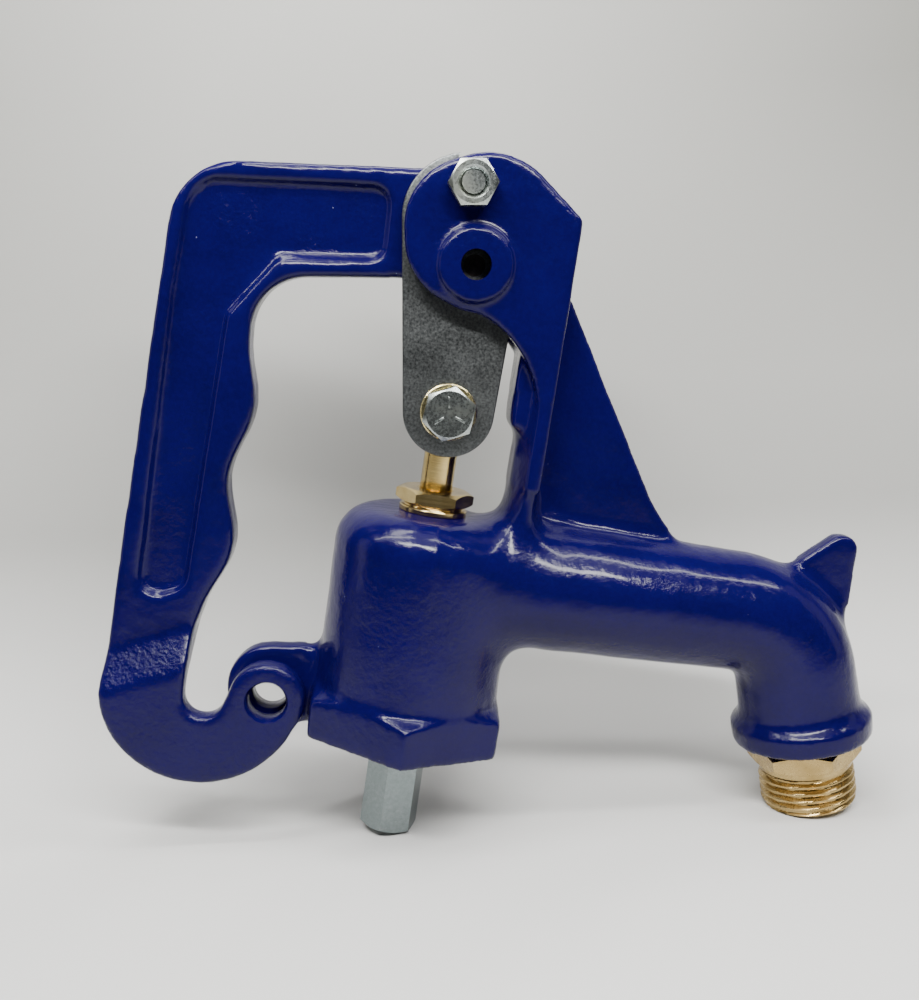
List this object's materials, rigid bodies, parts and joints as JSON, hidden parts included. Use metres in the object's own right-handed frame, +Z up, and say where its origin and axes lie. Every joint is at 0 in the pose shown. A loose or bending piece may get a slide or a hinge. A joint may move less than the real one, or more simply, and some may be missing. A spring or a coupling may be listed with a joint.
{
  "type": "yard hydrant head",
  "caption": "Lever-handled head of a frost-free yard hydrant: iron body and spout, toggle links, brass stem and packing, threaded standpipe socket and hose outlet.",
  "frame": {"origin": "centre of the standpipe socket's mouth, on the bottom face of the hexagonal base", "axes": "+Z up along the stem, +X towards the spout, +Y to the back, away from the padlock hook"},
  "size_m": [0.2171, 0.06, 0.187],
  "materials": {
    "blue_enamel": "gloss",
    "zinc_plate": "satin",
    "zinc_bright": "gloss",
    "brass_machined": "gloss",
    "brass_cast": "satin",
    "seal_rubber": "matte",
    "packing_graphite": "matte"
  },
  "bodies": {
    "head": {"head_casting": "blue_enamel", "pivot_sleeve": "brass_machined", "pivot_bolt": "zinc_bright", "pivot_nut": "zinc_bright", "pivot_lock_washer": "zinc_bright", "packing_housing": "brass_machined", "packing_nut": "brass_machined", "packing_gland": "brass_machined", "packing_rings": "packing_graphite", "packing_seat_washer": "brass_machined", "hose_adapter": "brass_cast", "adapter_seal": "seal_rubber"},
    "handle": {"handle": "blue_enamel"},
    "stem": {"stem": "brass_machined", "stem_bushing": "brass_machined", "stem_bolt": "zinc_bright", "stem_bolt_washer": "zinc_bright", "stem_bolt_nut": "zinc_bright", "stem_jam_nut": "zinc_bright", "coupling_nut": "zinc_bright"},
    "links": {"link_plate_front": "zinc_plate", "link_plate_rear": "zinc_plate", "link_pin": "zinc_bright"}
  },
  "joints": [
    {"name": "handle_pivot", "type": "hinge", "parent": "head", "child": "handle", "pos_m": [-0.0025, 0, 0.15], "axis": [0, 1, 0], "range_deg": [0, 90]},
    {"name": "stem_lift", "type": "slide", "parent": "head", "child": "stem", "axis": [0, 0, 1], "range_m": [0, 0.0185]},
    {"name": "link_swing", "type": "hinge", "parent": "stem", "child": "links", "pos_m": [0, 0, 0.0922], "axis": [0, 1, 0], "range_deg": [-36.1, 0]}
  ],
  "couplings": [
    {"joint": "stem_lift", "follows": "handle_pivot", "m_per_rad": 0.011714},
    {"joint": "link_swing", "follows": "handle_pivot", "ratio": -0.4}
  ]
}
